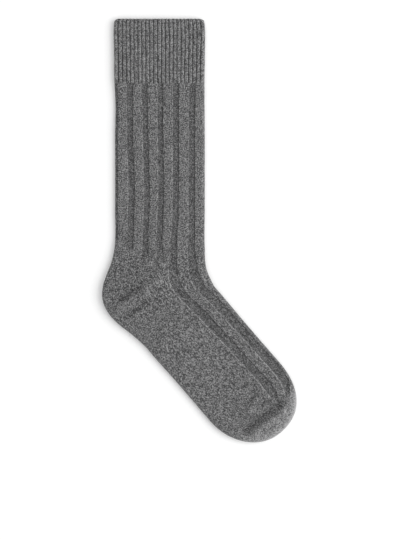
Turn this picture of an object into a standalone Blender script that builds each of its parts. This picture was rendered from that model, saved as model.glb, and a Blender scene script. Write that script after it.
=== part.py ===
"""A ribbed boot sock laid flat on its side: cuff, leg, turned heel, foot and toe.

Metres, +Z up; the tables are in millimetres. The underside rests on z = 0. Seen from above, the cuff is at
+Y and the toe points to +X and -Y. Each piece is a stretch of one flattened knitted tube, with an outer and
an inner wall joined round its ends. Ribs and folds are raised in the outer wall's upper side, because the
lower side rests flat. A course is a cross-section of the tube; its place is its distance in millimetres from
the rim, along the middle of the tube. A cross-section runs from the front fold (shin and instep) to the
back fold (calf, heel and sole).
"""

import math
from collections import namedtuple

import bmesh
import bpy
from mathutils import Vector

MM = 0.001

# Knit, in millimetres
RIB_DEPTH = 0.9  # a purl trough below the knit ridges beside it
RIDGE_CROWN = 0.25  # the middle of a knit ridge above its edges
RIB_SLOPE = 0.4  # half the width of a ridge's side
FOLD_RADIUS = 3.0  # the tube's rounded side folds
SEAM_GAP = 0.3  # between one piece and the next

# Cuff, 1 x 1 rib
CUFF_WIDTH = 95.2  # where the pitch holds; the ribs follow the cuff where it is narrower
CUFF_GROOVES = 22
CUFF_PITCH = 4.1
CUFF_FIRST = 4.3  # the first groove, from the front fold
CUFF_DEPTH = 0.8
CUFF_HALF_GROOVE = 0.9

# Toe: a rounded end on the foot's last section
FOOT_ANGLE = math.radians(-49.3)
TOE_LENGTH = 57.8
TOE_SEAM = 24.0  # where the toe cap begins, past the foot's last section
TOE_SOLE_POWER = 2.0  # 2 is an ellipse, more is squarer
TOE_FRONT_POWER = 2.35
TOE_THICK = 8.8
TOE_WALL = 3.0

# Fold points of a cross-section seen from above, its height, the wall, and the rib troughs: half the width
# of one, and the middle of each by its distance from the front fold. t12 lies between ribs 1 and 2, counted
# from the back fold.
Section = namedtuple(
    "Section", "name back_x back_y front_x front_y thick wall half t56 t45 t34 t23 t12"
)
SECTIONS = (
    Section("rim", -85.6, 222.0, 2.1, 222.0, 5.2, 2.25, 3.0, 12.5, 29.5, 45.5, 61.0, 76.0),
    Section("rim_edge", -87.8, 220.9, 4.3, 220.9, 5.9, 2.6, 3.0, 12.5, 29.5, 45.5, 61.5, 77.0),
    Section("rim_side", -89.1, 218.3, 5.6, 218.3, 6.2, 2.75, 3.0, 12.5, 29.5, 45.5, 62.0, 77.5),
    Section("cuff_top", -89.5, 214.1, 5.8, 214.1, 6.2, 2.75, 3.0, 12.5, 29.5, 45.5, 62.0, 77.5),
    Section("cuff_middle", -89.3, 188.9, 5.9, 188.9, 6.2, 2.75, 3.0, 12.5, 29.5, 45.5, 62.0, 77.5),
    Section("cuff_end", -88.7, 154.0, 5.3, 154.0, 6.1, 2.7, 3.0, 12.5, 29.5, 45.6, 62.0, 77.5),
    Section("leg_top", -88.0, 144.0, 5.2, 144.0, 5.9, 2.65, 3.0, 12.5, 29.5, 45.6, 62.0, 77.6),
    Section("calf", -88.0, 94.0, 5.3, 94.0, 5.9, 2.65, 3.0, 12.5, 29.5, 45.8, 61.3, 77.3),
    Section("shin", -87.9, 50.0, 5.4, 50.0, 5.9, 2.65, 3.1, 12.5, 29.7, 45.2, 60.3, 75.9),
    Section("leg_low", -88.0, 18.0, 5.4, 18.0, 5.9, 2.65, 3.1, 12.6, 30.2, 45.5, 60.6, 76.2),
    Section("ankle", -88.0, -10.6, 5.4, -10.6, 5.9, 2.65, 3.2, 13.2, 31.8, 46.9, 62.0, 77.9),
    Section("heel_top", -89.1, -21.1, 5.8, -19.0, 6.0, 2.65, 3.5, 13.6, 32.6, 47.2, 62.6, 78.8),
    Section("heel_1", -92.1, -33.7, 6.0, -26.4, 6.4, 2.7, 3.9, 13.8, 33.3, 47.6, 63.2, 79.7),
    Section("heel_2", -96.9, -46.3, 6.4, -32.7, 7.0, 2.8, 4.3, 13.6, 34.0, 49.0, 65.0, 82.0),
    Section("heel_3", -100.8, -58.9, 7.4, -38.4, 7.6, 2.9, 4.6, 13.6, 34.9, 51.0, 68.0, 85.5),
    Section("heel_back", -101.4, -71.5, 8.7, -43.2, 8.0, 3.0, 4.9, 13.9, 35.6, 52.0, 70.0, 88.0),
    Section("heel_5", -96.8, -84.1, 10.6, -47.9, 8.0, 3.0, 4.9, 13.9, 35.4, 52.0, 69.5, 88.0),
    Section("heel_6", -86.3, -96.7, 12.6, -52.1, 7.8, 2.95, 4.5, 13.5, 33.8, 51.0, 68.0, 86.0),
    Section("heel_7", -70.5, -109.3, 14.4, -56.0, 7.4, 2.9, 4.2, 12.3, 31.8, 49.0, 65.0, 81.0),
    Section("gusset", -56.4, -121.9, 16.2, -59.2, 7.0, 2.8, 4.2, 10.9, 29.7, 46.0, 62.0, 78.0),
    Section("instep", -49.6, -129.9, 23.1, -67.2, 6.8, 2.75, 4.2, 9.9, 28.8, 45.5, 62.0, 78.0),
    Section("arch", -26.4, -155.9, 45.6, -94.0, 6.6, 2.75, 4.1, 8.5, 26.9, 45.0, 62.0, 78.0),
    Section("ball", 11.3, -199.7, 83.5, -137.7, 6.9, 2.8, 4.0, 6.9, 25.3, 44.0, 61.0, 77.0),
)
TROUGHS = ("t56", "t45", "t34", "t23", "t12")

# Where each trough fades out into plain knit, and where the one on the back fold does
TroughEnd = namedtuple("TroughEnd", "course fade")
TROUGH_ENDS = {
    "t56": TroughEnd(459.5, 8.0),
    "t45": TroughEnd(452.0, 6.0),
    "t34": TroughEnd(255.5, 5.0),
    "t23": TroughEnd(251.5, 5.0),
    "t12": TroughEnd(244.5, 5.0),
    "back": TroughEnd(240.0, 8.0),
}
BACK_TROUGH = 2.9  # the width of the trough on the back fold

# The largest folds on the upper side: a line through points, with its height (below 0 for a valley) and
# half its width
Fold = namedtuple("Fold", "name height half points")
FOLDS = (
    Fold("heel_ridge", 0.8, 3.0, ((-83.5, -82.6), (-58.3, -67.5), (-41.5, -55.8))),
    Fold("heel_valley", -1.0, 3.5, ((-78.4, -71.5), (-65.0, -61.6), (-56.6, -55.8))),
    Fold("sole_valley", -0.8, 4.0, ((-68.4, -87.7), (-60.0, -76.8))),
    Fold("toe_valley", -1.2, 5.0, ((87.0, -184.1), (66.7, -198.6), (46.7, -212.6))),
    Fold("toe_ridge", 0.8, 4.0, ((71.9, -176.5), (55.1, -189.9))),
)

# From course to course: the pieces, and how many rows of points each wall has
Piece = namedtuple("Piece", "name starts ends outer_rows inner_rows")
GREY = (0.145, 0.145, 0.15, 1.0)


def slopes(places, values):
    """The slope at each point of a fair curve through points that are unevenly spaced."""
    steps = [b - a for a, b in zip(places, places[1:])]
    rates = [(b - a) / step for a, b, step in zip(values, values[1:], steps)]
    inner = [
        (rate_a * step_b + rate_b * step_a) / (step_a + step_b)
        for rate_a, rate_b, step_a, step_b in zip(rates, rates[1:], steps, steps[1:])
    ]
    return [rates[0], *inner, rates[-1]]


class FairCurve:
    """A smooth curve of one value along the sock."""

    def __init__(self, places, values):
        self.places = places
        self.values = values
        self.slopes = slopes(places, values)

    def __call__(self, place):
        last = len(self.places) - 2
        index = sum(place > mark for mark in self.places[1:-1])
        index = min(index, last)
        step = self.places[index + 1] - self.places[index]
        t = min(max((place - self.places[index]) / step, 0.0), 1.0)
        start, end = self.values[index], self.values[index + 1]
        leave, arrive = self.slopes[index] * step, self.slopes[index + 1] * step
        return (
            (2 * t**3 - 3 * t**2 + 1) * start
            + (t**3 - 2 * t**2 + t) * leave
            + (3 * t**2 - 2 * t**3) * end
            + (t**3 - t**2) * arrive
        )


def middle(section):
    return Vector((section.back_x + section.front_x, section.back_y + section.front_y)) / 2


def courses_of_sections():
    """Each table row's place, from the rim along the tube's middle."""
    places = [0.0]
    for before, after in zip(SECTIONS, SECTIONS[1:]):
        places.append(places[-1] + (middle(after) - middle(before)).length)
    return places


COURSES = courses_of_sections()
COURSE_OF = {section.name: course for section, course in zip(SECTIONS, COURSES)}
CURVES = {
    field: FairCurve(COURSES, [getattr(section, field) for section in SECTIONS])
    for field in Section._fields
    if field != "name"
}
TOE_START = COURSE_OF["ball"]
TIP = TOE_START + TOE_LENGTH

PIECES = (
    Piece("cuff", 0.0, COURSE_OF["cuff_end"], 8, 4),
    Piece("leg", COURSE_OF["cuff_end"], COURSE_OF["ankle"], 14, 5),
    Piece("heel", COURSE_OF["ankle"], COURSE_OF["instep"], 26, 10),
    Piece("foot", COURSE_OF["instep"], TOE_START + TOE_SEAM, 16, 6),
    Piece("toe", TOE_START + TOE_SEAM, TIP, 8, 5),
)


def smooth_step(value):
    t = min(max(value, 0.0), 1.0)
    return t * t * (3 - 2 * t)


def toe_share(along, length, power):
    """How wide the rounded toe still is, as a share of the foot's half width."""
    return max(1 - (along / length) ** power, 0.0) ** (1 / power)


def toe_section(along, inset):
    """A cross-section past the foot's last one; inset moves it in from the outline on all sides."""
    ball = SECTIONS[-1]
    forward = Vector((math.cos(FOOT_ANGLE), math.sin(FOOT_ANGLE)))
    across = Vector((-forward.y, forward.x))
    half_width = (Vector((ball.front_x, ball.front_y)) - middle(ball)).length - inset
    length = TOE_LENGTH - inset
    front_share = toe_share(along, length, TOE_FRONT_POWER)
    sole_share = toe_share(along, length, TOE_SOLE_POWER)
    front = middle(ball) + forward * along + across * half_width * front_share
    back = middle(ball) + forward * along - across * half_width * sole_share
    puff = smooth_step(along / TOE_SEAM)
    return ball._replace(
        back_x=back.x,
        back_y=back.y,
        front_x=front.x,
        front_y=front.y,
        thick=ball.thick + (TOE_THICK - ball.thick) * puff,
        wall=ball.wall + (TOE_WALL - ball.wall) * puff,
        **{name: getattr(ball, name) * front_share for name in TROUGHS},
    )


def section_at(course):
    """The outer cross-section at a course."""
    if course > TOE_START:
        return toe_section(course - TOE_START, 0.0)
    return Section(name="", **{field: curve(course) for field, curve in CURVES.items()})


def inner_section_at(course):
    """The hollow's cross-section at a course: the outer one, moved in by the wall."""
    if course > TOE_START:
        return toe_section(course - TOE_START, TOE_WALL)
    section = section_at(course)
    back = Vector((section.back_x, section.back_y))
    front = Vector((section.front_x, section.front_y))
    inward = (front - back).normalized() * section.wall
    back, front = back + inward, front - inward
    return section._replace(back_x=back.x, back_y=back.y, front_x=front.x, front_y=front.y)


def width_of(section):
    return math.hypot(section.front_x - section.back_x, section.front_y - section.back_y)


def point_across(section, distance):
    """The plan point at a distance from the front fold."""
    front = Vector((section.front_x, section.front_y))
    back = Vector((section.back_x, section.back_y))
    return front + (back - front).normalized() * distance


def trough_depth(name, course):
    end = TROUGH_ENDS[name]
    return RIB_DEPTH * smooth_step((end.course - course) / end.fade)


# A station is a point across the upper side: its distance from the front fold, and how deep it lies
Station = namedtuple("Station", "distance depth")


def rib_stations(section, course):
    """The upper side of the wide rib: a crowned ridge, then a trough of four points, and so on."""
    width = width_of(section)
    scale = min(1.0, width / (2 * FOLD_RADIUS + section.t12 + section.half))
    ridge_starts = 0.5 * FOLD_RADIUS * min(1.0, scale)
    stations = []
    for name in TROUGHS:
        centre = getattr(section, name) * scale
        depth = trough_depth(name, course)
        near = max(centre - (section.half + RIB_SLOPE) * scale, ridge_starts + RIB_SLOPE * scale)
        stations += [
            Station((ridge_starts + near) / 2, -RIDGE_CROWN * depth / RIB_DEPTH),
            Station(near, 0.0),
            Station(near + 2 * RIB_SLOPE * scale, depth),
            Station(centre + (section.half - RIB_SLOPE) * scale, depth),
            Station(centre + (section.half + RIB_SLOPE) * scale, 0.0),
        ]
        ridge_starts = centre + (section.half + RIB_SLOPE) * scale
    back_depth = trough_depth("back", course)
    ridge_ends = width - (BACK_TROUGH + RIB_SLOPE) * scale
    stations += [
        Station((ridge_starts + ridge_ends) / 2, -RIDGE_CROWN * back_depth / RIB_DEPTH),
        Station(ridge_ends, 0.0),
        Station(width - (BACK_TROUGH - RIB_SLOPE) * scale, back_depth),
    ]
    return stations


def cuff_stations(section, _course):
    """The upper side of the cuff's fine rib: a groove of three points between flat ridges."""
    scale = width_of(section) / CUFF_WIDTH
    stations = []
    for groove in range(CUFF_GROOVES):
        centre = CUFF_FIRST + groove * CUFF_PITCH
        stations += [
            Station((centre - CUFF_HALF_GROOVE) * scale, 0.0),
            Station(centre * scale, CUFF_DEPTH),
            Station((centre + CUFF_HALF_GROOVE) * scale, 0.0),
        ]
    return stations


def fold_height(point):
    """What the folds add to the upper side at a plan point."""
    total = 0.0
    for fold in FOLDS:
        reach = min(
            distance_to_line(point, Vector(start), Vector(end))
            for start, end in zip(fold.points, fold.points[1:])
        )
        total += fold.height * math.exp(-((reach / fold.half) ** 2))
    return total


def distance_to_line(point, start, end):
    along = end - start
    share = (point - start).dot(along) / along.length_squared
    return (point - start - along * min(max(share, 0.0), 1.0)).length


def roundness(distance, radius):
    """The height of a rounded edge, as a share of half its thickness, at a distance in from its outline."""
    if distance >= radius:
        return 1.0
    return math.sqrt(max(1 - (1 - distance / radius) ** 2, 0.0))


EDGE_STEPS = (0.13, 0.5)  # the points on a rounded fold, as shares of its radius
MOST_EDGE = 0.45  # a narrow cross-section's rounded folds, at most, as a share of its width
UNDERSIDE_STEPS = 4
TIP_ROWS = (3.2, 1.8, 0.9, 0.3)  # the last rows of the toe, in millimetres before its tip


def outer_ring(course, stations_of):
    """One row of the outer wall: the front fold, the upper side, the back fold, then the underside."""
    section = section_at(course)
    width = width_of(section)
    radius = min(FOLD_RADIUS, MOST_EDGE * width)
    tip_share = roundness(TIP - course, section.thick / 2)
    half = section.thick / 2

    def upper(station):
        plan = point_across(section, station.distance)
        edge = roundness(min(station.distance, width - station.distance), radius)
        rise = half - station.depth + fold_height(plan)
        return Vector((*plan, half + rise * edge * tip_share))

    def lower(distance):
        plan = point_across(section, distance)
        edge = roundness(min(distance, width - distance), radius)
        return Vector((*plan, half - half * edge * tip_share))

    near = [radius * step for step in EDGE_STEPS]
    far = [width - distance for distance in reversed(near)]
    back_depth = trough_depth("back", course) if stations_of is rib_stations else 0.0
    upper_side = (
        [Station(distance, 0.0) for distance in [0.0, *near]]
        + stations_of(section, course)
        + [Station(distance, back_depth) for distance in [*far, width]]
    )
    flat = [radius + (width - 2 * radius) * i / UNDERSIDE_STEPS for i in range(UNDERSIDE_STEPS + 1)]
    underside = [*far[::-1], *flat[::-1], *near[::-1]]
    return [upper(station) for station in upper_side] + [lower(distance) for distance in underside]


def inner_ring(course, count):
    """One row of the inner wall, plain, with as many points as the outer one."""
    section = inner_section_at(course)
    width = width_of(section)
    gap = section.thick - 2 * section.wall
    middle_height = section.thick / 2
    tip_share = roundness(TIP - TOE_WALL - course, gap / 2)
    below = 2 * len(EDGE_STEPS) + UNDERSIDE_STEPS + 1
    above = count - below
    upper = [width * i / (above - 1) for i in range(above)]
    lower = [width * (1 - (i + 1) / (below + 1)) for i in range(below)]
    edges = [(distance, 1) for distance in upper] + [(distance, -1) for distance in lower]
    ring = []
    for distance, side in edges:
        edge = roundness(min(distance, width - distance), gap / 2)
        plan = point_across(section, distance)
        ring.append(Vector((*plan, middle_height + side * gap / 2 * edge * tip_share)))
    return ring


def spread(start, end, count):
    return [start + (end - start) * i / (count - 1) for i in range(count)]


def rounded_end(start, end, count):
    """Rows that crowd together towards a rounded end."""
    return [start + (end - start) * math.sin(math.pi / 2 * i / count) for i in range(count)]


def rows_of(piece):
    """The courses of the outer and the inner wall's rows."""
    starts = piece.starts + (SEAM_GAP / 2 if piece.starts > 0 else 0.0)
    if piece.name == "toe":
        near_tip = [TIP - before for before in TIP_ROWS]
        outer = rounded_end(starts, near_tip[0], piece.outer_rows) + near_tip
        return outer, rounded_end(starts, TIP - TOE_WALL, piece.inner_rows)
    ends = piece.ends - SEAM_GAP / 2
    outer = spread(starts, ends, piece.outer_rows)
    if piece.name == "cuff":
        rim_rows = [COURSE_OF[name] for name in ("rim", "rim_edge", "rim_side")]
        outer = rim_rows + spread(COURSE_OF["cuff_top"], ends, piece.outer_rows)
    return outer, spread(starts, ends, piece.inner_rows)


def add_ring(mesh, points):
    return [mesh.verts.new(point * MM) for point in points]


def join_rings(mesh, ring, other):
    for i in range(len(ring)):
        following = (i + 1) % len(ring)
        mesh.faces.new((ring[i], ring[following], other[following], other[i]))


def close_ring(mesh, ring, tip):
    centre = mesh.verts.new(tip * MM)
    for i in range(len(ring)):
        mesh.faces.new((ring[i], ring[(i + 1) % len(ring)], centre))


def tip_point(inset):
    section = toe_section(TOE_LENGTH - inset, inset)
    return Vector((section.front_x, section.front_y, section.thick / 2))


def build_tube(piece):
    """The outer wall's rows and the inner wall's, joined round each open end; the toe's far end is closed."""
    stations_of = cuff_stations if piece.name == "cuff" else rib_stations
    outer_rows, inner_rows = rows_of(piece)
    mesh = bmesh.new()
    outer = [add_ring(mesh, outer_ring(course, stations_of)) for course in outer_rows]
    inner = [add_ring(mesh, inner_ring(course, len(outer[0]))) for course in inner_rows]
    for rings in (outer, inner):
        for ring, following in zip(rings, rings[1:]):
            join_rings(mesh, ring, following)
    join_rings(mesh, outer[0], inner[0])
    if piece.name == "toe":
        close_ring(mesh, outer[-1], tip_point(0.0))
        close_ring(mesh, inner[-1], tip_point(TOE_WALL))
    else:
        join_rings(mesh, outer[-1], inner[-1])
    bmesh.ops.recalc_face_normals(mesh, faces=mesh.faces)
    return mesh


def knit_material(name):
    material = bpy.data.materials.new(name)
    material.use_nodes = True
    shader = material.node_tree.nodes["Principled BSDF"]
    shader.inputs["Base Color"].default_value = GREY
    shader.inputs["Roughness"].default_value = 0.95
    shader.inputs["Metallic"].default_value = 0.0
    return material


def add_piece(piece):
    tube = build_tube(piece)
    data = bpy.data.meshes.new(piece.name)
    tube.to_mesh(data)
    tube.free()
    data.shade_smooth()
    data.set_sharp_from_angle(angle=math.radians(40))
    data.materials.append(knit_material(piece.name + "_knit"))
    bpy.context.scene.collection.objects.link(bpy.data.objects.new(piece.name, data))


def clear_scene():
    for obj in list(bpy.data.objects):
        bpy.data.objects.remove(obj)


def main():
    clear_scene()
    for piece in PIECES:
        add_piece(piece)


main()
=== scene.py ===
"""A ribbed boot sock laid flat on its side: its five knitted pieces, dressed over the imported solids.

Metres, +Z up; the tables are in millimetres. Each piece is a flattened tube, knitted as one panel. The
columns of its grid run along the wales, and are counted from the front fold over the upper side to the back
fold and back along the underside. Its rows run along the courses, and are counted from the hollow's far end
out round the first end and down the outside. A course is named by its distance in millimetres from the rim,
along the middle of the tube.
"""

import math
from types import SimpleNamespace

import bpy
import numpy as np
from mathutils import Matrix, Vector


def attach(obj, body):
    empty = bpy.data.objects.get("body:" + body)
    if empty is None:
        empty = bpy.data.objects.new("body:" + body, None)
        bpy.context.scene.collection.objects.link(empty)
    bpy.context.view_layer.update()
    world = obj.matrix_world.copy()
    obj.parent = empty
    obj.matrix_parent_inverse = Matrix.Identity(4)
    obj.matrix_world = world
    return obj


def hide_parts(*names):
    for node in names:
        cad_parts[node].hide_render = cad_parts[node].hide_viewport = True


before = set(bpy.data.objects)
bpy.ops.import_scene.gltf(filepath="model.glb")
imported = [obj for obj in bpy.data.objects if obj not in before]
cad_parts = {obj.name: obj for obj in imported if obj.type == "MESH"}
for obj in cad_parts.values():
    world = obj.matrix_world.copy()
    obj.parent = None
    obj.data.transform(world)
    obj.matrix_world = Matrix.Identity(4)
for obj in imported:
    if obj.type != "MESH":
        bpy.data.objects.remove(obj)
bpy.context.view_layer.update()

bl_info = {
    "name": "Ribbed boot sock",
    "version": (1, 0, 0),
    "blender": (4, 5, 0),
    "location": "3D View > Sidebar > Boot sock",
    "description": "Knits the five pieces of a ribbed boot sock over their solids and lays out the stage",
    "category": "Add Mesh",
}

MM = 0.001

# Each cross-section's two fold points on the outline, its height, the wall, half the width of a rib trough,
# and the middle of each trough by its distance from the front fold. A trough is named by the two ridges
# beside it.
TROUGHS = ("t56", "t45", "t34", "t23", "t12")
FIELDS = ("back_x", "back_y", "front_x", "front_y", "thick", "wall", "half", *TROUGHS)
SECTIONS = {
    "rim": (-86.3, 222.0, 1.2, 222.0, 5.2, 2.25, 3.0, 12.5, 29.5, 45.5, 61.0, 76.0),
    "rim_edge": (-87.8, 220.9, 4.1, 220.9, 5.9, 2.6, 3.0, 12.5, 29.5, 45.5, 61.5, 77.0),
    "rim_side": (-89.2, 218.3, 5.3, 218.3, 6.2, 2.75, 3.0, 12.5, 29.5, 45.5, 62.0, 77.5),
    "cuff_top": (-89.5, 214.1, 5.8, 214.1, 6.2, 2.75, 3.0, 12.5, 29.5, 45.5, 62.0, 77.5),
    "cuff_middle": (-89.3, 188.9, 5.9, 188.9, 6.2, 2.75, 3.0, 12.5, 29.5, 45.5, 62.0, 77.5),
    "cuff_end": (-88.7, 154.0, 5.3, 154.0, 6.1, 2.7, 3.0, 12.5, 29.5, 45.6, 62.0, 77.5),
    "leg_top": (-88.0, 144.0, 5.2, 144.0, 5.9, 2.65, 3.0, 12.5, 29.5, 45.6, 62.0, 77.6),
    "calf": (-88.0, 94.0, 5.3, 94.0, 5.9, 2.65, 3.0, 12.7, 29.5, 45.8, 61.2, 77.5),
    "shin": (-87.9, 50.0, 5.4, 50.0, 5.9, 2.65, 3.1, 12.9, 29.7, 45.2, 60.2, 76.3),
    "leg_low": (-88.0, 18.0, 5.4, 18.0, 5.9, 2.65, 3.1, 12.9, 30.2, 45.5, 60.6, 76.5),
    "ankle": (-88.0, -10.6, 5.4, -10.6, 5.9, 2.65, 3.2, 13.2, 31.8, 46.9, 62.0, 77.9),
    "heel_top": (-89.1, -21.1, 5.8, -19.0, 6.0, 2.65, 3.5, 13.6, 32.6, 47.2, 62.6, 78.8),
    "heel_1": (-92.1, -33.7, 6.0, -26.4, 6.4, 2.7, 3.9, 13.8, 33.3, 47.6, 63.2, 79.7),
    "heel_2": (-96.9, -46.3, 6.4, -32.7, 7.0, 2.8, 4.3, 13.6, 34.0, 49.0, 65.0, 82.0),
    "heel_3": (-100.8, -58.9, 7.4, -38.4, 7.6, 2.9, 4.6, 13.6, 34.9, 51.0, 68.0, 85.5),
    "heel_back": (-101.4, -71.5, 8.7, -43.2, 8.0, 3.0, 4.9, 13.9, 35.6, 52.0, 70.0, 88.0),
    "heel_5": (-96.8, -84.1, 10.6, -47.9, 8.0, 3.0, 4.9, 13.9, 35.4, 52.0, 69.5, 88.0),
    "heel_6": (-86.3, -96.7, 12.6, -52.1, 7.8, 2.95, 4.5, 13.5, 33.8, 51.0, 68.0, 86.0),
    "heel_7": (-70.5, -109.3, 14.4, -56.0, 7.4, 2.9, 4.2, 12.3, 31.8, 49.0, 65.0, 81.0),
    "gusset": (-56.4, -121.9, 16.2, -59.2, 7.0, 2.8, 4.4, 10.9, 29.7, 46.0, 62.0, 78.0),
    "instep": (-49.6, -129.9, 23.1, -67.2, 6.8, 2.75, 4.5, 9.9, 28.8, 45.5, 62.0, 78.0),
    "arch": (-26.4, -155.9, 45.6, -94.0, 6.6, 2.75, 4.3, 8.2, 26.8, 45.0, 62.0, 78.0),
    "ball": (11.3, -199.7, 83.5, -137.7, 6.9, 2.8, 4.2, 6.9, 25.5, 44.0, 61.0, 77.0),
}
TABLE = np.array(list(SECTIONS.values()))
MIDDLES = (TABLE[:, 0:2] + TABLE[:, 2:4]) / 2
COURSES = np.concatenate(([0.0], np.cumsum(np.linalg.norm(np.diff(MIDDLES, axis=0), axis=1))))
COURSE_OF = dict(zip(SECTIONS, COURSES))

# Toe: a rounded end on the foot's last cross-section
FOOT_ANGLE = math.radians(-49.3)
TOE_START = COURSE_OF["ball"]
TOE_LENGTH = 57.8
TOE_SEAM = 24.0  # where the toe piece begins, from the toe's start
TOE_SOLE_POWER = 2.0  # the outline is a superellipse with its own power on each side
TOE_FRONT_POWER = 2.35
TOE_THICK = 8.8
TOE_WALL = 3.0
TOE_EASE = 8.0  # over how many millimetres the toe's upper side rounds down to its tip
TIP = TOE_START + TOE_LENGTH

# Folds at the tube's two edges
FOLD_RADIUS = 3.0
TOE_FOLD_RADIUS = 6.5  # near the tip
TOE_FOLD_FROM = 10.0  # from the toe's start, where the fold begins to grow rounder
TOE_FOLD_OVER = 30.0
MOST_FOLD = 0.45  # of the tube's width
# At these courses, how far the front edge stands out past its line
FRONT_SWELL =((0, 60, 110, 215, 285, 330, 430, 455), (0.3, 0.45, 0.8, 0.6, 0.0, 0.25, 0.2, 0.0))

# Wide rib
WALES = (5, 3, 5, 3, 5, 3, 5, 3, 5, 3, 5, 2)  # ridge, trough, ridge and so on, from the front fold
COLUMNS_PER_WALE = 4
RIDGE_CROWN = 0.25  # a ridge's middle above its edges
BACK_TROUGH = 2.9  # from the back fold to the last ridge
BACK_LINE = 7  # its number among the straying edges
RIB_EXTRA = {"t56": 0.4, "t45": 0.3, "t34": 0.1, "t23": 0.0, "t12": 0.4}  # beyond half a trough's width
LEAST_EDGES = (0.4, 0.8)  # the least distances of a trough's edges from the front, in fold radii
STEEP_SHARE = 0.03  # where a trough's floor begins, next to the ridge in front of it
LIT_SHARE = 0.05  # and how far it stops short of the ridge behind it
GUTTER = 1.3  # the floor's depth right beside the ridge in front of it
FOOT_RIB = 0.72  # the rib is stretched flatter on the foot
EVEN_OVER = 12.0  # over how many millimetres the wales even out where the troughs have ended
STRAY_LENGTHS = (13.0, 5.0)  # how long the bends of a straying edge are
STRAY_SPACING = 7.0  # how far apart two edges read the random table
STRAY_SHIFT = 99.0
LUMP_SIZE = (7.0, 9.0)

# Stitches
SLANT = 0.8  # how many courses an arm of a knit stitch rises
PURL_ARC = 0.22  # and how far a purl arc bends up and down
LEAST_PER_COURSE = 0.3  # stitches in a millimetre
STITCH_UNEVENNESS = 0.35
LEAST_RELIEF = 0.3  # at the seams, as a share of the full one
SOLE_RELIEF = 0.35  # the stitches are flatter on the foot than on the leg
FIRST_STITCH = {"cuff": 0.0, "leg": 50.0, "heel": 152.0, "foot": 204.0, "toe": 290.0}
SEAM_EASE = 3.0  # over how many millimetres the stitches slant again beside a seam
TIP_EASE = 6.0

# How much lighter or darker the wool is painted than on the leg, as a share of the step from dark to light
# fibres: painted highlights, painted light and shade on the folds, painted shade in the grooves, and a
# darker heel
EDGE_HIGHLIGHT_STRENGTHS = (0.14, 0.24, 0.4)  # painted highlight along a ridge's front edge, the edge that faces the light, at the ankle, the instep and the toe
EDGE_HIGHLIGHT_SHARE = 12.0  # one over the width of that edge, as a share of the ridge
TOE_RIM_HIGHLIGHT = 0.62  # painted highlight at the toe's edge
TOE_HIGHLIGHT_DEPTH = 6.0  # how far in from the edge the painted highlight reaches
TOE_HIGHLIGHT_FROM = 28.0  # from the toe's start
TOE_HIGHLIGHT_OVER = 14.0
OUTLINE_POINTS = 40
OUTLINE_END = 0.2  # how far short of the tip the toe's outline is read, as it has no length at the tip
TOE_HIGHLIGHT_SIDE = math.radians(-20.0)  # the toe's painted highlight is strongest on this side of its middle, the side towards the light
TOE_HIGHLIGHT_SHARES = (0.45, 0.7)  # all round, and what that side adds
TOE_MIDDLE = (55.7, -178.1)
FOLD_PAINTED_LIGHT_AND_SHADE = 0.036  # painted light on a fold's crest and painted shade in a valley, for each millimetre that the fold stands up or sinks
CUFF_LIGHTER = 0.06
# painted shade in the cuff's grooves
GROOVE_PAINTED_SHADE = 0.22
# the wool is darker on a patch over the heel
HEEL_DARKER = 0.085
HEEL_PATCH = (-65.0, -58.0, 50.0, 38.0)  # its middle, and how far it reaches across and along

# Underside, on a tube as wide as the leg
FACE_WIDTH = 93.3
UNDER_WALE = 2.0  # how wide a stitch is
UNDER_TROUGHS = (83.5, 67.5, 51.5, 35.5, 19.5)
UNDER_DEPTH = 0.6
UNDER_HALF = 2.6  # half a trough's floor
UNDER_RIM = 3.3  # from its middle to the ridge
UNDER_RIDGE = 8.0  # and to the ridge's middle
FOLD_STATIONS = (0.35, 1.3, 3.0)
FRONT_MARGIN, BACK_MARGIN = 8.0, 5.0  # beyond these the columns keep their distance from the fold

# Where each trough fades out into plain knit: the course, and over how many millimetres
TROUGH_ENDS = {
    "t56": (460.0, 3.5),
    "t45": (453.0, 3.0),
    "t34": (255.5, 5.0),
    "t23": (251.5, 5.0),
    "t12": (244.5, 5.0),
    "back": (240.0, 8.0),
}

# Cuff, 1 x 1 rib
CUFF_WIDTH = 95.2
CUFF_GROOVES = 22
CUFF_PITCH = 4.1
CUFF_FIRST = 4.3
CUFF_POWER = 0.4  # the lower, the narrower the grooves
CUFF_WAVER = 0.6  # of the wide rib's
CUFF_LINE = 20  # the first groove's number among the straying edges
COLUMNS_PER_RIB = 8
GROOVE_CROWDING = 0.45  # how much closer the columns stand in a groove
GROOVE_PURL = (0.45, 0.4)  # from what depth of a groove, and over how much of it, it looks purl
CUFF_BLEND = 1.4  # how far the two kinds of rib run into each other
SCALLOP = 0.7  # how far a cuff rib stands out past the grooves at the rim
SCALLOP_OVER = 3.0

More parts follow.
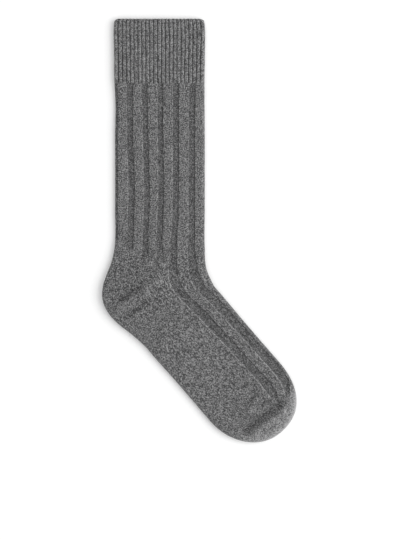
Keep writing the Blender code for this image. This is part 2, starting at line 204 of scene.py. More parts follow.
# Folds on the upper side: height (below 0 for a valley), half the width, and the line that it follows
FOLDS = (
    (2.8, 4.8, ((-86.8, -84.6), (-56.8, -64.6), (-42.3, -52.8))),
    (-3.0, 3.4, ((-81.4, -70.8), (-70.9, -63.8), (-63.4, -58.6))),
    (-1.8, 3.2, ((-73.2, -87.8), (-57.5, -74.2))),
    (-1.4, 1.8, ((-46.1, -104.7), (-37.7, -100.5))),
    (-0.9, 1.2, ((-26.6, -89.1), (-16.1, -98.6))),
    (-1.6, 2.0, ((-44.0, -37.5), (-42.0, -39.5))),
    (-4.0, 4.6, ((83.0, -184.1), (73.6, -190.4), (65.2, -196.7), (55.7, -204.1), (48.4, -209.6))),
    (2.6, 4.8, ((87.9, -190.2), (77.9, -196.7), (69.4, -202.7), (60.4, -209.2))),
    (3.2, 3.0, ((59.8, -176.6), (51.4, -189.2))),
    (-1.2, 4.0, ((59.3, -168.1), (54.1, -180.7), (46.7, -196.5))),
    (-1.5, 2.6, ((56.5, -169.5), (60.5, -173.0))),
    (-2.4, 1.2, ((71.9, -182.1), (78.2, -183.2), (86.1, -184.4))),
    (-2.4, 1.2, ((65.6, -183.4), (66.7, -180.7), (69.3, -178.7), (74.6, -178.1))),
    (-1.8, 3.2, ((81.4, -176.5), (88.0, -181.0))),
)
GORE = (-83.5, -82.6, -41.5, -55.8)  # the line where the leg's courses meet the sole's
GORE_COLUMNS = (0.5, 0.15)  # from which share of the upper side, and over how much of it, they meet there

# Each piece's first and last course, and its number of rows
PIECES = {
    "cuff": (0.4, COURSE_OF["cuff_end"], 190),
    "leg": (COURSE_OF["cuff_end"], COURSE_OF["ankle"], 400),
    "heel": (COURSE_OF["ankle"], COURSE_OF["instep"], 400),
    "foot": (COURSE_OF["instep"], TOE_START + TOE_SEAM, 330),
    "toe": (TOE_START + TOE_SEAM, TIP, 110),
}
LIP_STEPS = 3
LIP_BULGE = 0.35
INNER_ROWS = 8
LEAST_GAP = 0.3  # between the hollow's two walls
TOE_CROWDING = 0.9

# Material: how much each pattern adds to the speckle, and the tones
SPECKLE = {"heather": 4.1, "fibres": 0.7, "yarn": 0.3, "cloud": 0.5, "streaks": 0.6}
HEATHER_SCALE = 820.0
CLOUD_SCALE = 240.0
MIDDLE_TONE = 0.415
# painted shade in the purl troughs
PURL_PAINTED_SHADE = 0.17
# painted shade in the gaps between strands, which leaves their tops lighter
STRAND_PAINTED_SHADE = 0.2
TONE_POWER = 1.5  # above 1 the dark fibres are the more

# Stage, in metres
KEY_PLACE = (1.68, -0.15, 1.1)
KEY_AIM = (0.0, -0.03, 0.0)
KEY_SIZE = 2.0
CAMERA_X, CAMERA_Y, CAMERA_BASE = 0.003675, -0.04158, 0.003
CAMERA_RISE, CAMERA_LENS = 0.2835, 18.0  # how high it stands above its base with this lens


class SockKnit(bpy.types.PropertyGroup):
    """Sizes and colours of the knit."""

    course_height: bpy.props.FloatProperty(
        name="Course height", description="Height of one stitch", default=1.4 * MM, unit="LENGTH"
    )
    stitch_relief: bpy.props.FloatProperty(
        name="Stitch relief", description="How far a strand stands out", default=0.24 * MM, unit="LENGTH"
    )
    rib_depth: bpy.props.FloatProperty(
        name="Rib depth", description="A purl trough below its ridges", default=1.25 * MM, unit="LENGTH"
    )
    cuff_depth: bpy.props.FloatProperty(
        name="Cuff rib depth", description="A groove between two cuff ribs", default=2.0 * MM, unit="LENGTH"
    )
    waver: bpy.props.FloatProperty(
        name="Waver", description="How far a rib strays from its line", default=0.3 * MM, unit="LENGTH"
    )
    unevenness: bpy.props.FloatProperty(
        name="Unevenness", description="Soft lumps of the cloth", default=0.16 * MM, unit="LENGTH"
    )
    dark_yarn: bpy.props.FloatVectorProperty(
        name="Dark fibres",
        description="The darkest wool",
        size=3,
        subtype="COLOR",
        default=(0.031, 0.031, 0.032),
    )
    light_yarn: bpy.props.FloatVectorProperty(
        name="Light fibres",
        description="The lightest wool",
        size=3,
        subtype="COLOR",
        default=(0.315, 0.315, 0.317),
    )


class SockStage(bpy.types.PropertyGroup):
    """The floor, the light and the camera."""

    floor_colour: bpy.props.FloatVectorProperty(
        name="Floor", description="Colour of the floor", size=3, subtype="COLOR", default=(0.95, 0.95, 0.95)
    )
    sky: bpy.props.FloatProperty(name="Sky", description="Even light from all round", default=0.82, min=0.0)
    key_power: bpy.props.FloatProperty(
        name="Key light", description="Power of the soft light on the right", default=35.0, unit="POWER"
    )
    lens: bpy.props.FloatProperty(
        name="Lens", description="Focal length in millimetres", default=85.0, subtype="DISTANCE_CAMERA"
    )


def fair_curve(values, wanted):
    """A smooth curve through one column of the table, at an array of courses."""
    steps = np.diff(COURSES)
    rates = np.diff(values) / steps
    inner = (rates[:-1] * steps[1:] + rates[1:] * steps[:-1]) / (steps[:-1] + steps[1:])
    slopes = np.concatenate(([rates[0]], inner, [rates[-1]]))
    index = np.searchsorted(COURSES[1:-1], wanted)
    step = steps[index]
    t = np.clip((wanted - COURSES[index]) / step, 0.0, 1.0)
    return (
        (2 * t**3 - 3 * t**2 + 1) * values[index]
        + (t**3 - 2 * t**2 + t) * slopes[index] * step
        + (3 * t**2 - 2 * t**3) * values[index + 1]
        + (t**3 - t**2) * slopes[index + 1] * step
    )


def smooth_step(value):
    """From 0 to 1 with level ends, as the value goes from 0 to 1."""
    t = np.clip(value, 0.0, 1.0)
    return t * t * (3 - 2 * t)


def toe_share(along, length, power):
    """How wide the rounded toe still is, as a share of the foot's half width."""
    return np.maximum(1 - (along / length) ** power, 0.0) ** (1 / power)


def section_at(course, inset=0.0):
    """The cross-sections at an array of courses; inset moves the toe's in from its outline."""
    section = SimpleNamespace(
        **{name: fair_curve(TABLE[:, i], np.minimum(course, TOE_START)) for i, name in enumerate(FIELDS)}
    )
    length = TOE_LENGTH - inset
    along = np.clip(course - TOE_START, 0.0, length)
    forward_x, forward_y = math.cos(FOOT_ANGLE), math.sin(FOOT_ANGLE)
    half_width = np.hypot(TABLE[-1, 2] - TABLE[-1, 0], TABLE[-1, 3] - TABLE[-1, 1]) / 2 - inset
    front_share = toe_share(along, length, TOE_FRONT_POWER)
    front = half_width * front_share
    back = half_width * toe_share(along, length, TOE_SOLE_POWER)
    on_toe = course > TOE_START
    middle_x, middle_y = MIDDLES[-1]
    section.front_x = np.where(on_toe, middle_x + forward_x * along - forward_y * front, section.front_x)
    section.front_y = np.where(on_toe, middle_y + forward_y * along + forward_x * front, section.front_y)
    section.back_x = np.where(on_toe, middle_x + forward_x * along + forward_y * back, section.back_x)
    section.back_y = np.where(on_toe, middle_y + forward_y * along - forward_x * back, section.back_y)
    puff = smooth_step(along / TOE_SEAM)
    section.thick = section.thick + (TOE_THICK - section.thick) * puff * on_toe
    section.wall = section.wall + (TOE_WALL - section.wall) * puff * on_toe
    rounder = smooth_step((along - TOE_FOLD_FROM) / TOE_FOLD_OVER)
    section.fold = FOLD_RADIUS + (TOE_FOLD_RADIUS - FOLD_RADIUS) * rounder
    for name in TROUGHS:
        setattr(section, name, getattr(section, name) * np.where(on_toe, front_share, 1.0))
    finish_section(section)
    return section


def finish_section(section):
    """Adds what follows from the fold points: width, direction, fold radius and girth."""
    span_x = section.back_x - section.front_x
    span_y = section.back_y - section.front_y
    section.width = np.maximum(np.hypot(span_x, span_y), 1e-6)
    section.across_x = span_x / section.width
    section.across_y = span_y / section.width
    section.radius = np.minimum(section.fold, MOST_FOLD * section.width)
    section.quarter = np.pi / 2 * np.sqrt((section.radius**2 + (section.thick / 2) ** 2) / 2)
    section.girth = section.width - 2 * section.radius + 2 * section.quarter


def arc_of(section, distance):
    """How far along the cloth, from the front fold, a point lies that is this far from it in plan."""
    near = np.minimum(distance, section.width - distance)
    on_fold = section.quarter * np.arccos(np.clip(1 - near / section.radius, -1.0, 1.0)) / (np.pi / 2)
    arc = np.where(near < section.radius, on_fold, near - section.radius + section.quarter)
    return np.where(distance <= section.width / 2, arc, section.girth - arc)


def place_of(section, arc):
    """The other way round: the distance in plan, how upright the cloth faces, and how far it leans out."""
    near = np.minimum(arc, section.girth - arc)
    angle = np.clip(near / section.quarter, 0.0, 1.0) * np.pi / 2
    reach = section.radius * (1 - np.cos(angle)) + np.maximum(near - section.quarter, 0.0)
    in_front = arc <= section.girth / 2
    distance = np.where(in_front, reach, section.width - reach)
    return distance, np.sin(angle), np.where(in_front, -1.0, 1.0) * np.cos(angle)


def in_plan(section, distance):
    """The points this far from the front fold, on the line from fold to fold."""
    return section.front_x + section.across_x * distance, section.front_y + section.across_y * distance


def quarter_round(share):
    """From 0 to 1 along a quarter of a circle, steep at first."""
    return np.sqrt(np.maximum(1 - (1 - np.clip(share, 0.0, 1.0)) ** 2, 0.0))


def trough_share(name, course):
    """How deep a trough still is, from 1 to 0 where it has ended."""
    end, fade = TROUGH_ENDS[name]
    return smooth_step((end - course) / fade)


def distance_to_line(x, y, start, end):
    """How far points are from a straight stretch of a fold."""
    along_x, along_y = end[0] - start[0], end[1] - start[1]
    share = ((x - start[0]) * along_x + (y - start[1]) * along_y) / (along_x**2 + along_y**2)
    share = np.clip(share, 0.0, 1.0)
    return np.hypot(x - start[0] - along_x * share, y - start[1] - along_y * share)


def fold_height(x, y):
    """What the folds add to the upper side."""
    total = np.zeros_like(x)
    for height, half, points in FOLDS:
        reach = np.min([distance_to_line(x, y, a, b) for a, b in zip(points, points[1:])], axis=0)
        total += height * np.exp(-((reach / half) ** 2))
    return total


class Lumps:
    """Soft random values over a plane, from -1 to 1, the same at every run."""

    def __init__(self, seed):
        self.table = np.random.default_rng(seed).uniform(-1.0, 1.0, (256, 256))

    def cell(self, i, j):
        return self.table[np.floor(i).astype(int) % 256, np.floor(j).astype(int) % 256]

    def __call__(self, x, y):
        ease_x, ease_y = smooth_step(x - np.floor(x)), smooth_step(y - np.floor(y))
        near = self.cell(x, y) * (1 - ease_x) + self.cell(x + 1, y) * ease_x
        far = self.cell(x, y + 1) * (1 - ease_x) + self.cell(x + 1, y + 1) * ease_x
        return near * (1 - ease_y) + far * ease_y


CLOTH_LUMPS = Lumps(11)
STITCH_LUMPS = Lumps(12)
STRAY = Lumps(13)


def stray(line, course):
    """How far a rib's edge strays at a course, from -1.5 to 1.5."""
    lane = np.full_like(course, line * STRAY_SPACING)
    long, short = STRAY_LENGTHS
    return STRAY(course / long, lane) + 0.5 * STRAY(course / short, lane + STRAY_SHIFT)


def rib_anchors(section, course, knit):
    """Where each ridge and trough begins, along the cloth from the front fold."""
    scale = np.minimum(1.0, section.width / (2 * FOLD_RADIUS + section.t12 + section.half))
    waver = knit.waver / MM
    least_first, least_second = (share * FOLD_RADIUS * scale for share in LEAST_EDGES)
    edges = [np.zeros_like(course)]
    for line, name in enumerate(TROUGHS):
        centre = getattr(section, name) * scale
        half = section.half * scale + RIB_EXTRA[name]
        wander = waver * stray(line, course)
        edges.append(arc_of(section, np.maximum(centre - half + wander, least_first)))
        edges.append(arc_of(section, np.maximum(centre + half + wander, least_second)))
    last_edge = section.width - BACK_TROUGH * scale + waver * stray(BACK_LINE, course) * 0.5
    edges.append(arc_of(section, last_edge))
    edges.append(section.girth)
    return edges_on_plain_knit(np.array(edges), section, course)


def edges_on_plain_knit(edges, section, course):
    """Evens the wales out where the troughs have ended, on the heel, the sole and the toe."""
    counts = np.cumsum((0, *WALES))
    for first, name in ((4, "t34"), (0, "t45")):
        end, _ = TROUGH_ENDS[name]
        ended = smooth_step((course - end + EVEN_OVER / 2) / EVEN_OVER)
        share = (counts[first:] - counts[first]) / (counts[-1] - counts[first])
        share = share.reshape(-1, *[1] * course.ndim)
        even = edges[first] + share * (section.girth - edges[first])
        edges[first:] = edges[first:] * (1 - ended) + even * ended
    return edges


def rib_columns():
    """Each column of the upper side: its wale, and the ridge or trough that it is in."""
    wales = np.arange(sum(WALES) * COLUMNS_PER_WALE + 1) / COLUMNS_PER_WALE
    counts = np.cumsum((0, *WALES))
    cell = np.clip(np.searchsorted(counts, wales, side="right") - 1, 0, len(WALES) - 1)
    share = (wales - counts[cell]) / np.array(WALES)[cell]
    share[np.flatnonzero((cell % 2 == 1) & (share == 0.0)) + 1] = STEEP_SHARE
    share[(cell % 2 == 1) & (share > 0.9)] = 1 - LIT_SHARE
    return wales, cell, share


def cuff_columns():
    """Each column of the cuff's upper side: its rib, and how far across it."""
    ribs = np.arange((CUFF_GROOVES + 1) * COLUMNS_PER_RIB + 1) / COLUMNS_PER_RIB
    cell = np.minimum(ribs.astype(int), CUFF_GROOVES)
    share = ribs - cell
    share = share - GROOVE_CROWDING * np.sin(2 * np.pi * share) / (2 * np.pi)
    return cell + share, cell, share


def cuff_anchors(section, course, knit):
    """Where each groove of the cuff lies, along the cloth from the front fold."""
    scale = section.width / CUFF_WIDTH
    waver = CUFF_WAVER * knit.waver / MM
    edges = [np.zeros_like(course)]
    for groove in range(CUFF_GROOVES):
        centre = CUFF_FIRST + groove * CUFF_PITCH + waver * stray(CUFF_LINE + groove, course)
        edges.append(arc_of(section, centre * scale))
    edges.append(section.girth)
    return np.array(edges)


def place_columns(anchors, cell, share):
    """The place of each column along the cloth, between the anchors of its ridge or trough."""
    columns = np.arange(len(cell))
    start = anchors[cell, :, columns].T
    end = anchors[cell + 1, :, columns].T
    return start + (end - start) * share


def rib_depth(cell, share, course):
    """The wide rib's profile: 0 on the ridges, 1 in the troughs and a little more beside a ridge."""
    profile = np.zeros_like(course)
    for index, name in enumerate((*TROUGHS, "back")):
        inside = (cell == 2 * index + 1) & (share > 0.0) & ((share < 1.0) | (name == "back"))
        depth = np.where(share == STEEP_SHARE, GUTTER, 1.0)
        profile += inside * depth * trough_share(name, course)
    return profile * np.interp(course, (COURSE_OF["shin"], COURSE_OF["instep"]), (1.0, FOOT_RIB))


def crown(cell, share, course):
    """How far the middle of a ridge stands above its edges."""
    on_ridge = cell % 2 == 0
    return np.where(on_ridge, 4 * share * (1 - share), 0.0) * trough_share("t12", course)


def cuff_profile(ribs):
    """The fine rib's profile, 0 on a rib's top and 1 in a groove."""
    return 1 - np.abs(np.sin(np.pi * ribs)) ** CUFF_POWER


def arm_rise(wale, purl):
    """How far along the cloth a strand lies from its course's line, in courses: a V, or a purl arc."""
    across = wale - np.floor(wale)
    knit = (np.abs(2 * across - 1) - 0.5) * SLANT
    return knit * (1 - purl) + np.cos(2 * np.pi * across) * PURL_ARC * purl


def strand_height(wale, phase, purl):
    """How far the strands stand out, from 0 to 1."""
    strand = 0.5 - 0.5 * np.cos(2 * np.pi * phase)
    arms = np.abs(np.sin(2 * np.pi * wale))
    knit = 0.35 * arms + 0.65 * strand * (0.4 + 0.6 * arms)
    return knit * (1 - purl) + (0.25 + 0.75 * strand) * purl


def under_stations():
    """The underside's columns, from the back fold: the distance from the front one, and the trough or -1."""
    stations = [(FACE_WIDTH - place, -1) for place in FOLD_STATIONS]
    for index, middle in enumerate(UNDER_TROUGHS):
        stations.append((middle + UNDER_RIM, -1))
        stations += [(middle + offset, index) for offset in (UNDER_HALF, 0.0, -UNDER_HALF)]
        stations += [(middle - UNDER_RIM, -1), (middle - UNDER_RIDGE, -1)]
    stations += [(place, -1) for place in (*reversed(FOLD_STATIONS), 0.0)]
    return np.array([place for place, _ in stations]), np.array([trough for _, trough in stations])


def courses_of_columns(x, y, z, name, knit):
    """The stitch count along each column: even on the straight stretches, mitred at the heel."""
    height = knit.course_height / MM
    steps = np.sqrt(np.diff(x, axis=0) ** 2 + np.diff(y, axis=0) ** 2 + np.diff(z, axis=0) ** 2)
    run = np.concatenate((np.zeros((1, steps.shape[1])), np.cumsum(steps, axis=0))) / height
    start = FIRST_STITCH[name]
    if name == "heel":
        return start + mitred(run, x, y, FIRST_STITCH["foot"] - start)
    if name == "toe":
        return start + np.repeat(run[:, [run.shape[1] // 2]], run.shape[1], axis=1)
    total = round((PIECES[name][1] - PIECES[name][0]) / height)
    return start + run / run[-1] * total


def mitred(run, x, y, total):
    """Counts from the leg down to the gore line, and from the foot back up to it."""
    even = run / run[-1] * total
    across = (GORE[2] - GORE[0]) * (y - GORE[1]) - (GORE[3] - GORE[1]) * (x - GORE[0])
    above = across / math.hypot(GORE[2] - GORE[0], GORE[3] - GORE[1])
    past = smooth_step(0.5 - above)
    turned = run * (1 - past) + (total - run[-1] + run) * past
    start, span = GORE_COLUMNS
    in_heel = smooth_step((np.linspace(0.0, 1.0, run.shape[1]) - start) / span)
    return even * (1 - in_heel) + turned * in_heel


def upper_side(name, rows, knit):
    """The outer wall's upper side: x, y, z, wale, stitch count, purl, lightness and loft of each point."""
    on_cuff = name == "cuff"
    columns, cell, share = cuff_columns() if on_cuff else rib_columns()
    anchors_of = cuff_anchors if on_cuff else rib_anchors
    course = np.repeat(rows[:, None], len(columns), axis=1)
    section = section_at(course)
    arc = place_columns(anchors_of(section, course, knit), cell, share)
    wale = np.repeat(columns[None, :], len(rows), axis=0)
    if name == "toe":
        seam = section_at(np.array([rows[0]]))
        wale = columns[-1] / 2 + (arc - section.girth / 2) / (seam.girth[0] / columns[-1])
    profile = rib_profile(name, columns, cell, share, course, arc, section, knit)
    shallow, span = GROOVE_PURL
    purl = smooth_step((profile - shallow) / span) if on_cuff else np.clip(profile, 0.0, 1.0)
    x, y, z = raise_cloth(section, arc, course, profile, cell, share, 0.0, name, knit)
    stitches = courses_of_columns(x, y, z, name, knit)
    per_course = np.gradient(stitches, axis=0) / np.maximum(np.gradient(course, axis=0), 1e-6)
    rise = arm_rise(wale, purl)
    fade = seam_fade(name, rows)[:, None]
    shift = rise / np.maximum(per_course, LEAST_PER_COURSE) * fade
    if on_cuff:
        shift = shift + SCALLOP * cuff_profile(columns) * smooth_step(1 - rows / SCALLOP_OVER)[:, None]
    shifted = np.clip(course + shift, 0.0, TIP)
    section = section_at(shifted)
    arc = place_columns(anchors_of(section, shifted, knit), cell, share)
    loft = np.interp(course, (COURSE_OF["heel_back"], COURSE_OF["gusset"]), (1.0, SOLE_RELIEF))
    relief = stitch_relief(wale, stitches, purl, fade, knit) * loft
    x, y, z = raise_cloth(section, arc, shifted, profile, cell, share, relief, name, knit)
    # painted light on the folds' crests and painted shade in their valleys
    light = painted_light_and_heel_tone(x, y, course) + FOLD_PAINTED_LIGHT_AND_SHADE * fold_height(x, y)
    if on_cuff:
        # painted shade in the cuff's grooves
        light = light + CUFF_LIGHTER - GROOVE_PAINTED_SHADE * purl
    else:
        # painted highlight on each ridge's lit front edge
        light = light + painted_edge_highlight(cell, share, course)
    return x, y, z, wale, stitches + rise * fade, purl, light, loft


def painted_light_and_heel_tone(x, y, course):
    """How much lighter the wool is painted: a painted highlight round the toe's edge, strongest on its lit
    side, and below 0 on a darker patch over the heel.
    """
    heel_x, heel_y, across, along = HEEL_PATCH
    heel_darkening = HEEL_DARKER * np.exp(-(((x - heel_x) / across) ** 2) - ((y - heel_y) / along) ** 2)
    out_x, out_y = x - TOE_MIDDLE[0], y - TOE_MIDDLE[1]
    facing = out_x * math.cos(TOE_HIGHLIGHT_SIDE) + out_y * math.sin(TOE_HIGHLIGHT_SIDE)
    facing = facing / np.maximum(np.hypot(out_x, out_y), 1.0)
    rim_highlight = TOE_RIM_HIGHLIGHT * np.exp(-depth_in_toe(x, y, course) / TOE_HIGHLIGHT_DEPTH)
    rim_highlight = rim_highlight * smooth_step((course - TOE_START - TOE_HIGHLIGHT_FROM) / TOE_HIGHLIGHT_OVER)
    all_round, one_side = TOE_HIGHLIGHT_SHARES
    return rim_highlight * (all_round + one_side * np.maximum(facing, 0.0)) - heel_darkening


def depth_in_toe(x, y, course):
    """How far each point lies inside the toe's outline; far inside where the piece ends before the toe."""
    if course[-1, 0] <= TOE_START:
        return np.full_like(x, TOE_LENGTH)
    tip = section_at(np.linspace(TOE_START, TIP - OUTLINE_END, OUTLINE_POINTS))
    outline = list(zip(tip.front_x, tip.front_y)) + list(zip(tip.back_x, tip.back_y))[::-1]
    return np.min([distance_to_line(x, y, a, b) for a, b in zip(outline, outline[1:])], axis=0)


def painted_edge_highlight(cell, share, course):
    """A painted highlight along the front edge of each ridge, the edge that faces the light."""
    strength = np.interp(course, (COURSE_OF["ankle"], COURSE_OF["instep"], TOE_START), EDGE_HIGHLIGHT_STRENGTHS)
    total = np.zeros_like(course)
    for index, name in enumerate(TROUGHS):
        edge = (cell == 2 * index + 2) * np.clip(1 - share * EDGE_HIGHLIGHT_SHARE, 0.0, 1.0)
        total += edge * strength * trough_share(name, course)
    return total


def seam_fade(name, rows):
    """The strands lie straight at the rim, at the tip, and where the cuff's rib meets the wide one."""
    fade = smooth_step((rows - 1.0) / SEAM_EASE)
    if name in ("cuff", "leg"):
        fade = fade * smooth_step(np.abs(rows - PIECES["cuff"][1]) / SEAM_EASE)
    return fade * smooth_step((TIP - rows) / TIP_EASE)


def rib_profile(name, columns, cell, share, course, arc, section, knit):
    """The share of the rib depth at each point; at the cuff's end the two kinds of rib run together."""
    joint = PIECES["cuff"][1]
    meet = 0.5 * smooth_step(1 - np.abs(course - joint) / CUFF_BLEND)
    distance, _, _ = place_of(section, arc)
    finer = knit.cuff_depth / knit.rib_depth
    if name == "cuff":
        fine = cuff_profile(columns)[None, :] * finer
        fine = fine * np.where((columns == 0) | (columns == columns[-1]), 0.0, 1.0)
        wide = np.zeros_like(distance)
        for trough in TROUGHS:
            reach = np.abs(distance - getattr(section, trough)) - section.half
            wide += smooth_step(0.5 - reach)
        return fine * (1 - meet) + wide * meet
    wide = rib_depth(cell, share, course)
    if name == "leg":
        ribs = (distance / section.width * CUFF_WIDTH - CUFF_FIRST) / CUFF_PITCH
        fine = cuff_profile(np.clip(ribs, -0.5, CUFF_GROOVES - 0.5)) * finer
        return wide * (1 - meet) + fine * meet
    return wide


def stitch_relief(wale, stitches, purl, fade, knit):
    """How far each point stands out, in millimetres: its strand, and the unevenness of its stitch."""
    height = strand_height(wale, stitches, purl)
    uneven = STITCH_LUMPS(wale, stitches * 0.8)
    fade = LEAST_RELIEF + (1 - LEAST_RELIEF) * fade
    return (height - 0.5 + STITCH_UNEVENNESS * uneven) * fade * knit.stitch_relief / MM


def raise_cloth(section, arc, course, profile, cell, share, relief, name, knit):
    """The points of the upper side, in millimetres."""
    distance, upright, lean = place_of(section, arc)
    plan_x, plan_y = in_plan(section, distance)
    half = section.thick / 2
    tip = quarter_round((TIP - course) / TOE_EASE)
    rise = half - profile * knit.rib_depth / MM + fold_height(plan_x, plan_y)
    rise = rise + knit.unevenness / MM * CLOTH_LUMPS(plan_x / LUMP_SIZE[0], plan_y / LUMP_SIZE[1])
    if name != "cuff":
        rise = rise + RIDGE_CROWN * crown(cell, share, course)
    swell = np.interp(course, *FRONT_SWELL)
    out = (relief * lean + swell * np.minimum(lean, 0.0)) * tip
    x = plan_x + section.across_x * out
    y = plan_y + section.across_y * out
    z = half + (rise + relief) * upright * tip
    return x, y, z


def underside(rows, stitches):
    """The outer wall's underside, from the back fold to the front one: flat ridges on the surface.

    Its stitches are counted as on the upper side's last column.
    """
    places, trough = under_stations()
    course = np.repeat(rows[:, None], len(places), axis=1)
    section = section_at(course)
    shrink = np.minimum(section.width / FACE_WIDTH, 1.0)
    in_back = places > FACE_WIDTH / 2
    distance = np.where(in_back, section.width - (FACE_WIDTH - places) * shrink, places * shrink)
    middle = (places > FRONT_MARGIN) & (places < FACE_WIDTH - BACK_MARGIN)
    distance = np.where(middle, places * section.width / FACE_WIDTH, distance)
    upright = quarter_round(np.minimum(distance, section.width - distance) / section.radius)
    depth = np.zeros_like(course)
    for index, name in enumerate(reversed(TROUGHS)):
        depth += (trough == index) * trough_share(name, course) * UNDER_DEPTH
    half = section.thick / 2
    x, y = in_plan(section, distance)
    z = half + (depth - half) * upright * quarter_round((TIP - course) / half)
    wale = sum(WALES) + (section.width - distance) / UNDER_WALE
    stitches = np.repeat(stitches, len(places), axis=1)
    return x, y, z, wale, stitches, depth / UNDER_DEPTH, painted_light_and_heel_tone(x, y, course), np.ones_like(course)


def hollow(rows, upper_count, under_count):
    """The inner wall, plain, with as many points round it as the outer one."""
    over = np.linspace(0.0, 1.0, upper_count)
    back = 1 - np.arange(1, under_count + 1) / under_count
    share = np.concatenate((over, back))
    side = np.concatenate((np.ones(upper_count), -np.ones(under_count)))
    course = np.repeat(rows[:, None], len(share), axis=1)
    on_cap = rows[0] > TOE_START + TOE_SEAM
    section = section_at(course, TOE_WALL * on_cap)
    inward = section.wall * (not on_cap)
    inner_width = np.maximum(section.width - 2 * inward, 1e-6)
    distance = inward + share * inner_width
    gap = np.maximum(section.thick - 2 * section.wall, LEAST_GAP)
    near = np.minimum(distance - inward, inner_width - distance + inward)
    upright = quarter_round(near / (gap / 2))
    tip = quarter_round((TIP - TOE_WALL - course) / (gap / 2))
    x, y = in_plan(section, distance)
    pressed = np.clip(fold_height(x, y), LEAST_GAP - gap, 0.0) * (side > 0)
    z = section.thick / 2 + (side * gap / 2 + pressed) * upright * tip
    return x, y, z


def outer_rows(name):
    """The courses of the outer wall's rows; on the toe they crowd towards the tip."""
    start, end, count = PIECES[name]
    if name != "toe":
        return np.linspace(start, end, count)
    return start + (end - start) * np.sin(np.pi / 2 * np.linspace(0.0, 1.0, count) ** TOE_CROWDING)


def inner_rows(name):
    """The courses of the inner wall's rows, from its far end to its near one."""
    start, end, _ = PIECES[name]
    if name == "toe":
        end = TIP - TOE_WALL
        return start + (end - start) * np.sin(np.pi / 2 * np.linspace(1.0, 0.0, INNER_ROWS))
    return np.linspace(end, start, INNER_ROWS)


def knitted_points(name, knit):
    """Every point of a piece's grid, row by row, and its wale, stitch count, purl, lightness and loft."""
    rows = outer_rows(name)
    upper = upper_side(name, rows, knit)
    _, _, _, _, stitches, *_ = upper
    under = underside(rows, stitches[:, -1:])
    outer = [np.concatenate((a, b), axis=1) for a, b in zip(upper, under)]
    places, extras = outer[:3], outer[3:]
    for coordinate in places:
        coordinate[:, -1] = coordinate[:, 0]
    points = np.stack(places, axis=-1)
    inner = np.stack(hollow(inner_rows(name), upper[0].shape[1], under[0].shape[1]), axis=-1)
    layers = [inner, *lip(name, inner[-1], points[0]), points]
    if name != "toe":
        layers.insert(0, points[-1:])
    points = np.concatenate(layers)
    missing = len(points) - len(rows)
    extras = [np.concatenate((np.repeat(part[:1], missing, axis=0), part)) for part in extras]
    return points, extras


def lip(name, inner, outer):
    """The rim's rounded lip, from the inner wall to the outer one; the other pieces have a straight end."""
    if name != "cuff":
        return []
    rings = []
    for step in range(1, LIP_STEPS + 1):
        turn = math.pi * step / (LIP_STEPS + 1)
        share = (1 - math.cos(turn)) / 2
        ring = inner * (1 - share) + outer * share
        ring[:, 1] += LIP_BULGE * math.sin(turn)
        rings.append(ring[None])
    return rings


def add_panel(name, points):
    """A flat grid with a point for each one of the knitted piece, moved to its place."""
    rows, columns = points.shape[:2]
    bpy.ops.mesh.primitive_grid_add(x_subdivisions=columns - 1, y_subdivisions=rows - 1, size=2)
    panel = bpy.context.object
    panel.name = panel.data.name = name
    if len(panel.data.vertices) != rows * columns:
        raise RuntimeError(f"{name}: the grid has {len(panel.data.vertices)} points, not {rows * columns}")
    panel.data.vertices.foreach_set("co", (points * MM).ravel())
    return panel


def write_stitches(panel, wale, course, **attributes):
    """Keeps each point's stitch on the piece's own UV map, and the rest as attributes."""
    mesh = panel.data
    corner = np.empty(len(mesh.loops), dtype=np.int32)
    mesh.loops.foreach_get("vertex_index", corner)
    stitches = np.stack((wale.ravel()[corner], course.ravel()[corner]), axis=-1)
    mesh.uv_layers[0].name = "stitches"
    mesh.uv_layers[0].data.foreach_set("uv", stitches.ravel().astype(np.float32))
    for attribute, values in attributes.items():
        mesh.attributes.new(attribute, "FLOAT", "POINT").data.foreach_set("value", values.ravel())


def sew_panel(panel):
    """Joins the panel's edges into a closed tube whose faces point outwards."""
    bpy.ops.object.mode_set(mode="EDIT")
    bpy.ops.mesh.select_all(action="SELECT")
    bpy.ops.mesh.remove_doubles(threshold=1e-6)
    bpy.ops.mesh.normals_make_consistent(inside=False)
    bpy.ops.object.mode_set(mode="OBJECT")
    bpy.ops.object.shade_smooth()
    sharpen_hems(panel.data)


def sharpen_hems(mesh):
    """A hem is where the outer wall ends: its shading doesn't run round the corner."""
    hem = np.empty(len(mesh.vertices), dtype=np.float32)
    mesh.attributes["hem"].data.foreach_get("value", hem)
    ends = np.empty(len(mesh.edges) * 2, dtype=np.int32)
    mesh.edges.foreach_get("vertices", ends)
    sharp = hem[ends].reshape(-1, 2).min(axis=1) > 0.5
    mesh.edges.foreach_set("use_edge_sharp", sharp)
    mesh.attributes.remove(mesh.attributes["hem"])


def knit_piece(name, context):
    """One piece of the sock, in its place over the solid of the same name."""
    knit = context.scene.sock_knit
    bpy.ops.object.select_all(action="DESELECT")
    points, (wale, course, purl, light, loft) = knitted_points(name, knit)
    panel = add_panel(name + "_knit", points)
    hem = np.zeros(points.shape[:2])
    first_outer = len(points) - PIECES[name][2]
    if name != "cuff":
        hem[first_outer] = 1.0
    if name != "toe":
        hem[-1] = 1.0
        hem[0] = 1.0
    write_stitches(panel, wale, course, purl=purl, light=light, loft=loft, hem=hem)
    sew_panel(panel)
    panel.data.materials.append(knit_material(context))
    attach(panel, "root")
    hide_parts(name)


class Value:
    """A number in a shader. Arithmetic on it adds Math nodes."""

    def __init__(self, shader, socket):
        self.shader = shader
        self.socket = socket

    def __add__(self, other):
        return self.shader.maths("ADD", self, other)

    def __sub__(self, other):
        return self.shader.maths("SUBTRACT", self, other)

    def __rsub__(self, other):
        return self.shader.maths("SUBTRACT", other, self)

    def __mul__(self, other):
        return self.shader.maths("MULTIPLY", self, other)

    __radd__ = __add__
    __rmul__ = __mul__


